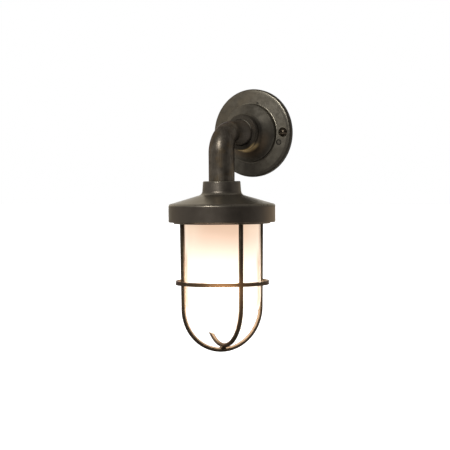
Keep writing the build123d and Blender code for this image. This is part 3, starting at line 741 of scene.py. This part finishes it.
def braided_sleeve(name, base, shaded):
    """Woven sleeving: two crossing sets of fine threads."""
    braid_angle, thread_scale, braid_depth = math.radians(35.0), 420.0, 0.00012
    fuzz_size = 0.002
    finish, tree, shader = new_finish(name)
    place = object_place(tree)
    sets = []
    for turn in (braid_angle, -braid_angle):
        turned = {"Vector": place, "Rotation": (turn, turn, 0.0)}
        turned = add_node(tree, "ShaderNodeMapping", turned).outputs["Vector"]
        threads = {"Vector": turned, "Scale": thread_scale}
        threads = add_node(tree, "ShaderNodeTexWave", threads, bands_direction="DIAGONAL")
        sets.append(threads.outputs["Fac"])
    braid = figure(tree, "MAXIMUM", *sets)
    feed(
        tree,
        shader,
        base_color=tint(tree, braid, shaded, base),
        roughness=vary(tree, noise(tree, fuzz_size), 0.65, 0.85),
    )
    raise_surface(tree, shader, braid, braid_depth)
    return finish


lead_brown = braided_sleeve("lead_brown", base=(0.24, 0.12, 0.06), shaded=(0.1, 0.045, 0.02))
lead_blue = braided_sleeve("lead_blue", base=(0.07, 0.16, 0.5), shaded=(0.025, 0.06, 0.2))
dress(lead_brown, "lead_live")
dress(lead_blue, "lead_neutral")

# Lamp: an opal glass bulb on a spun aluminium screw cap with rolled threads, cemented together,
# with a soldered end contact. It is lit, and the frosted glass round it spreads its light.
opal_size = 0.004
opal_warm, opal_pale = (0.88, 0.86, 0.8), (0.93, 0.92, 0.88)
light_warm, light_pale = (1.0, 0.86, 0.68), (1.0, 0.93, 0.8)
bulb_glass, tree, shader = new_finish("bulb_glass")
opal = noise(tree, opal_size)
feed(
    tree,
    shader,
    base_color=tint(tree, opal, opal_warm, opal_pale),
    roughness=vary(tree, opal, 0.15, 0.25),
    emission_color=tint(tree, opal, light_warm, light_pale),
    emission_strength=3.0,
)
dress(bulb_glass, "bulb_envelope")
bulb_metal = turned_metal(
    "bulb_metal",
    base=(0.76, 0.76, 0.74),
    dulled=(0.55, 0.54, 0.52),
    line_spacing=0.0005,
    tarnish_size=0.003,
    polish=0.26,
)
dress(bulb_metal, "bulb_cap", "bulb_contact")
cap_low, cap_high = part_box("bulb_cap")
cap_middle = ((cap_low[0] + cap_high[0]) / 2, (cap_low[1] + cap_high[1]) / 2)
cap_thread_start = 0.002
make_shape(
    thread_tree,
    "cap_thread",
    "bulb",
    "bulb_metal",
    radius=(cap_high[0] - cap_low[0]) / 2,
    pitch=0.0036,
    turns=3.5,
    depth=0.00045,
    start=(*cap_middle, cap_low[2] + cap_thread_start),
    step=(0.0, 0.0, 0.0),
    count=1,
    axis_turn=(0.0, 0.0, 0.0),
    material=bulb_metal,
)

# Well glass: a pressed glass with a flange and a round end, acid-etched inside to a fine frost.
# The lamp behind it shows as an even glow, whitest round the lamp and peach under the canopy, and
# the glass's own edge shows as a darker line down each side.
frosted_glass, tree, shader = new_finish("frosted_glass")
glow_top, glow_foot = -0.085, -0.175
glow_strength = 4.5
middle_glow = (
    (-0.085, (0.73, 0.5, 0.345)),
    (-0.104, (0.87, 0.61, 0.45)),
    (-0.153, (1.04, 0.99, 0.87)),
    (-0.175, (0.9, 0.87, 0.84)),
)
edge_glow = (
    (-0.085, (0.72, 0.54, 0.4)),
    (-0.0975, (0.9, 0.68, 0.51)),
    (-0.156, (0.92, 0.84, 0.74)),
)


def glow_ramp(tree, position, stops):
    """Colours of the glow down the glass, as shares of its strength."""
    ramp = add_node(tree, "ShaderNodeValToRGB", {"Fac": position})
    elements = ramp.color_ramp.elements
    while len(elements) < len(stops):
        elements.new(0.5)
    for element, (level, colour) in zip(elements, stops):
        element.position = (level - glow_top) / (glow_foot - glow_top)
        element.color = (*(channel / glow_strength for channel in colour), 1.0)
    return ramp.outputs["Color"]


level = along(tree, "Z")
lowered = {"Value": level, "From Min": glow_top, "From Max": glow_foot}
lowered = add_node(tree, "ShaderNodeMapRange", lowered).outputs["Result"]
slant = add_node(tree, "ShaderNodeLayerWeight", {"Blend": 0.5}).outputs["Facing"]
glow = tint(
    tree,
    spread(tree, slant, 0.02, 0.36),
    glow_ramp(tree, lowered, middle_glow),
    glow_ramp(tree, lowered, edge_glow),
)

core_glow, core_slant = (3.4, 2.3, 1.5), (0.12, 0.0)
core_span, core_soft = (-0.162, -0.147), 0.006
core = product(
    tree, spread(tree, slant, *core_slant), within(tree, level, *core_span, core_soft)
)
glow = tint(tree, core, glow, core_glow)

side_glow, side_slant, side_top = (0.08, 0.045, 0.025), (0.5, 0.64), (-0.112, -0.132)
rim_glow, rim_slant, wall_foot = (0.075, 0.05, 0.03), (0.62, 0.85), (-0.184, -0.166)
wall = spread(tree, level, *wall_foot)
side_wall = product(tree, spread(tree, level, *side_top), wall)
glow = tint(tree, product(tree, spread(tree, slant, *side_slant), side_wall), glow, side_glow)
glow = tint(tree, product(tree, spread(tree, slant, *rim_slant), wall), glow, rim_glow)

cast_light, cast_span = (4.1, 3.45, 2.85), (-0.1, -0.15)
cast = tint(tree, spread(tree, level, *cast_span), glow, cast_light)
seen = add_node(tree, "ShaderNodeLightPath").outputs["Is Camera Ray"]
frost_dark, frost_pale = (0.06, 0.055, 0.05), (0.08, 0.075, 0.07)
frost_size, frost_depth = 0.0005, 0.00001
frost = noise(tree, frost_size)
feed(
    tree,
    shader,
    base_color=tint(tree, frost, frost_dark, frost_pale),
    roughness=vary(tree, frost, 0.45, 0.6),
    transmission_weight=0.15,
    emission_color=tint(tree, seen, cast, glow),
    emission_strength=glow_strength,
)
raise_surface(tree, shader, frost, frost_depth)
dress(frosted_glass, "well_glass")

# Guard ring: a turned brass ring that screws up inside the canopy's band and carries the glass and
# the rods. Its lower edge shows and is darkened like the canopy; the thread above it is cut fine.
dress(canopy_finish, "guard_ring")
ring_low, ring_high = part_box("guard_ring")
lamp_axis = Vector(((ring_low[0] + ring_high[0]) / 2, (ring_low[1] + ring_high[1]) / 2, 0.0))
ring_thread_start = 0.0022
make_shape(
    thread_tree,
    "ring_thread",
    "guard",
    "cast_brass",
    radius=(ring_high[0] - ring_low[0]) / 2,
    pitch=0.002,
    turns=3.6,
    depth=0.00026,
    start=(lamp_axis.x, lamp_axis.y, ring_low[2] + ring_thread_start),
    step=(0.0, 0.0, 0.0),
    count=1,
    axis_turn=(0.0, 0.0, 0.0),
    material=canopy_finish,
)

# Guard hoops and belt: drawn brass rod and strip, bent cold, brazed where they meet and darkened.
# The lamp's heat has left them a warmer brown than the castings, and small fillets of braze stand
# in the corners of each joint.
guard_finish = brass_finish(
    "guard_brass",
    relief=0.00002,
    edge_sheen=(0.36, 0.3, 0.25),
    dark=(0.042, 0.032, 0.023),
    brown=(0.06, 0.047, 0.034),
    rubbed=(0.2, 0.165, 0.115),
    crevice=(0.04, 0.032, 0.022),
    mottle_size=0.004,
    rub=0.6,
    edge_width=0.0005,
    grain_size=0.0008,
    polish=0.38,
)[0]
dress(guard_finish, "hoop_outer", "hoop_inner", "belt_ring")

braze_tree, given, result = shape_tree(
    "braze_fillets",
    bead_radius="Float",
    squash="Vector",
    ring_radius="Float",
    count="Int",
    first_bearing="Float",
    centre="Vector",
    lumpiness="Float",
    material="Material",
)
bead_subdivisions, bead_lump_size = 4, 0.0012
ring = add_node(
    braze_tree,
    "GeometryNodeMeshCircle",
    {"Vertices": given["Count"], "Radius": given["Ring Radius"]},
).outputs["Mesh"]
ring_turn = add_node(
    braze_tree, "ShaderNodeCombineXYZ", {"Z": given["First Bearing"]}
).outputs["Vector"]
ring_turn = add_node(
    braze_tree, "FunctionNodeEulerToRotation", {"Euler": ring_turn}
).outputs["Rotation"]
ring = add_node(
    braze_tree,
    "GeometryNodeTransform",
    {"Geometry": ring, "Translation": given["Centre"], "Rotation": ring_turn},
).outputs["Geometry"]
point = add_node(braze_tree, "GeometryNodeInputPosition").outputs["Position"]
outward = add_node(
    braze_tree, "ShaderNodeVectorMath", {0: point, 1: given["Centre"]}, operation="SUBTRACT"
).outputs["Vector"]
facing = add_node(
    braze_tree,
    "FunctionNodeAlignRotationToVector",
    {"Vector": outward},
    axis="X",
    pivot_axis="Z",
).outputs["Rotation"]
bead = add_node(
    braze_tree,
    "GeometryNodeMeshIcoSphere",
    {"Radius": given["Bead Radius"], "Subdivisions": bead_subdivisions},
).outputs["Mesh"]
beads = add_node(
    braze_tree,
    "GeometryNodeInstanceOnPoints",
    {"Points": ring, "Instance": bead, "Rotation": facing, "Scale": given["Squash"]},
).outputs["Instances"]
beads = add_node(
    braze_tree, "GeometryNodeRealizeInstances", {"Geometry": beads}
).outputs["Geometry"]
lump = noise(braze_tree, bead_lump_size, detail=2.0, roughness=0.5, place=point)
swell = product(braze_tree, figure(braze_tree, "SUBTRACT", lump, 0.5), given["Lumpiness"])
normal = add_node(braze_tree, "GeometryNodeInputNormal").outputs["Normal"]
swell = add_node(
    braze_tree, "ShaderNodeVectorMath", {0: normal, "Scale": swell}, operation="SCALE"
).outputs["Vector"]
beads = add_node(
    braze_tree, "GeometryNodeSetPosition", {"Geometry": beads, "Offset": swell}
).outputs["Geometry"]
close_tree(braze_tree, given, result, beads, smooth=True)

guard_bearing = math.radians(55.6)
rod_radius, fillet_reach = 0.00225, 1.15
belt_low, belt_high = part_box("belt_ring")
belt_thickness, belt_sink = 0.0021, 0.0003
belt_inside = (belt_high[0] - belt_low[0]) / 2 - belt_thickness
belt_middle = (lamp_axis.x, lamp_axis.y, (belt_low[2] + belt_high[2]) / 2)
fillet_bearing = math.asin(fillet_reach * rod_radius / belt_inside)
for side, offset in (("fore", fillet_bearing), ("aft", -fillet_bearing)):
    make_shape(
        braze_tree,
        f"belt_braze_{side}",
        "guard",
        "guard_brass",
        bead_radius=0.001,
        squash=(0.9, 1.1, 1.7),
        ring_radius=belt_inside - belt_sink,
        count=4,
        first_bearing=guard_bearing + offset,
        centre=belt_middle,
        lumpiness=0.0005,
        material=guard_finish,
    )
crossing_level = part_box("hoop_outer")[0][2] + 2 * rod_radius
make_shape(
    braze_tree,
    "crossing_braze",
    "guard",
    "guard_brass",
    bead_radius=0.0013,
    squash=(1.3, 1.0, 1.1),
    ring_radius=0.0018,
    count=4,
    first_bearing=guard_bearing + math.pi / 4,
    centre=(lamp_axis.x, lamp_axis.y, crossing_level),
    lumpiness=0.0006,
    material=guard_finish,
)

# Studio: a white floor far below, a white sheet behind, and in front a dim room with a pale wall, a
# dark corner and one soft box to the left of the camera. The camera is level with the canopy and
# stands to the right of straight in front, as in the photograph.
camera_turn = math.radians(30.5)
camera_gap = 1.5
camera_height = -0.052
image_size = 450
focal_pixels = 1500.0
horizon_pixel = 183.6
axis_pixel = 222.0
camera_roll = math.radians(0.4)
level_right = Vector((math.cos(camera_turn), math.sin(camera_turn), 0.0))
level_ahead = Vector((-math.sin(camera_turn), math.cos(camera_turn), 0.0))
upright = Vector((0.0, 0.0, 1.0))
eye = lamp_axis - camera_gap * level_ahead + camera_height * upright
pitch = math.atan((image_size / 2 - horizon_pixel) / focal_pixels)
yaw = math.atan((image_size / 2 - axis_pixel) / focal_pixels)
ahead = (math.cos(yaw) * level_ahead + math.sin(yaw) * level_right).normalized()
right = ahead.cross(upright)
ahead = math.cos(pitch) * ahead - math.sin(pitch) * upright
up = right.cross(ahead)
rolled_right = math.cos(camera_roll) * right - math.sin(camera_roll) * up
rolled_up = math.cos(camera_roll) * up + math.sin(camera_roll) * right
scene = bpy.context.scene
camera_data = bpy.data.cameras.new("studio_camera")
camera_data.sensor_width = 36.0
camera_data.lens = camera_data.sensor_width * focal_pixels / image_size
camera = bpy.data.objects.new("studio_camera", camera_data)
scene.collection.objects.link(camera)
axes = Matrix((rolled_right, rolled_up, -ahead)).transposed()
camera.matrix_world = Matrix.Translation(eye) @ axes.to_4x4()
scene.camera = camera

floor_level, floor_reach = -0.75, 40.0
corners = ((-1, -1), (1, -1), (1, 1), (-1, 1))
corners = [(x * floor_reach, y * floor_reach, floor_level) for x, y in corners]
floor_mesh = bpy.data.meshes.new("studio_floor")
floor_mesh.from_pydata(corners, [], [(0, 1, 2, 3)])
floor = bpy.data.objects.new("studio_floor", floor_mesh)
scene.collection.objects.link(floor)
white = (1.0, 1.0, 1.0)
floor_paint, tree, shader = new_finish("floor_paint")
feed(tree, shader, base_color=(0.9, 0.9, 0.9), emission_color=white, emission_strength=1.0)
floor_mesh.materials.append(floor_paint)
floor.visible_diffuse = False
floor.visible_glossy = False
floor.visible_transmission = False


def bearing(azimuth, elevation):
    """Direction from the light fitting, in degrees as the camera's azimuth is measured."""
    turn, lift = math.radians(azimuth), math.radians(elevation)
    reach = math.cos(lift)
    return Vector((math.sin(turn) * reach, -math.cos(turn) * reach, math.sin(lift)))


room_glow, room_colour = 0.07, (1.0, 0.99, 0.97)
room_lobes = (
    ("sheet behind", 210.5, 0.0, 1.7, 2.0),
    ("left wall", -59.5, 0.0, 0.36, 2.0),
    ("right wall", 120.5, 0.0, 0.26, 3.0),
    ("pale wall", 12.0, 0.0, 0.36, 8.0),
    ("dark corner", 82.0, 0.0, -0.24, 10.0),
    ("ceiling", 0.0, 90.0, 0.12, 2.0),
    ("low right", 120.5, -40.0, 0.32, 2.0),
)
world = bpy.data.worlds.new("studio")
scene.world = world
world.use_nodes = True
tree = world.node_tree
tree.nodes.clear()
direction = add_node(tree, "ShaderNodeTexCoord").outputs["Generated"]
brightness = room_glow
for name, azimuth, elevation, strength, sharpness in room_lobes:
    lobe = {0: direction, 1: bearing(azimuth, elevation)}
    lobe = add_node(tree, "ShaderNodeVectorMath", lobe, operation="DOT_PRODUCT", label=name)
    lobe = figure(tree, "MAXIMUM", lobe.outputs["Value"], 0.0)
    lobe = product(tree, figure(tree, "POWER", lobe, sharpness), strength)
    brightness = figure(tree, "ADD", lobe, brightness)
room = add_node(tree, "ShaderNodeBackground")
feed(tree, room, color=room_colour, strength=brightness)
paper = add_node(tree, "ShaderNodeBackground")
feed(tree, paper, color=white, strength=1.0)
seen = add_node(tree, "ShaderNodeLightPath").outputs["Is Camera Ray"]
both = add_node(
    tree, "ShaderNodeMixShader", {0: seen, 1: room.outputs[0], 2: paper.outputs[0]}
)
add_node(tree, "ShaderNodeOutputWorld", {"Surface": both.outputs[0]})

key_azimuth, key_elevation, key_gap = 1.5, 31.0, 1.6
key_aim = lamp_axis + Vector((0.0, 0.0, -0.05))
key_data = bpy.data.lights.new("key_box", "AREA")
key_data.shape = "RECTANGLE"
key_data.size = 0.4
key_data.size_y = 0.3
key_data.energy = 17.0
key_data.color = (0.99, 1.0, 0.97)
key_box = bpy.data.objects.new("key_box", key_data)
scene.collection.objects.link(key_box)
key_way = bearing(key_azimuth, key_elevation)
key_box.location = key_aim + key_gap * key_way
key_box.rotation_euler = key_way.to_track_quat("Z", "Y").to_euler()

scene.view_settings.view_transform = "Standard"
scene.use_nodes = True
tree = scene.node_tree
tree.nodes.clear()
layers = add_node(tree, "CompositorNodeRLayers")
halo = add_node(
    tree,
    "CompositorNodeGlare",
    {
        "Image": layers.outputs["Image"],
        "Threshold": 1.5,
        "Strength": 0.17,
        "Size": 0.1,
        "Maximum": 10.0,
        "Tint": (1.0, 0.7, 0.42, 1.0),
    },
    glare_type="BLOOM",
    quality="HIGH",
)
add_node(tree, "CompositorNodeComposite", {"Image": halo.outputs["Image"]})
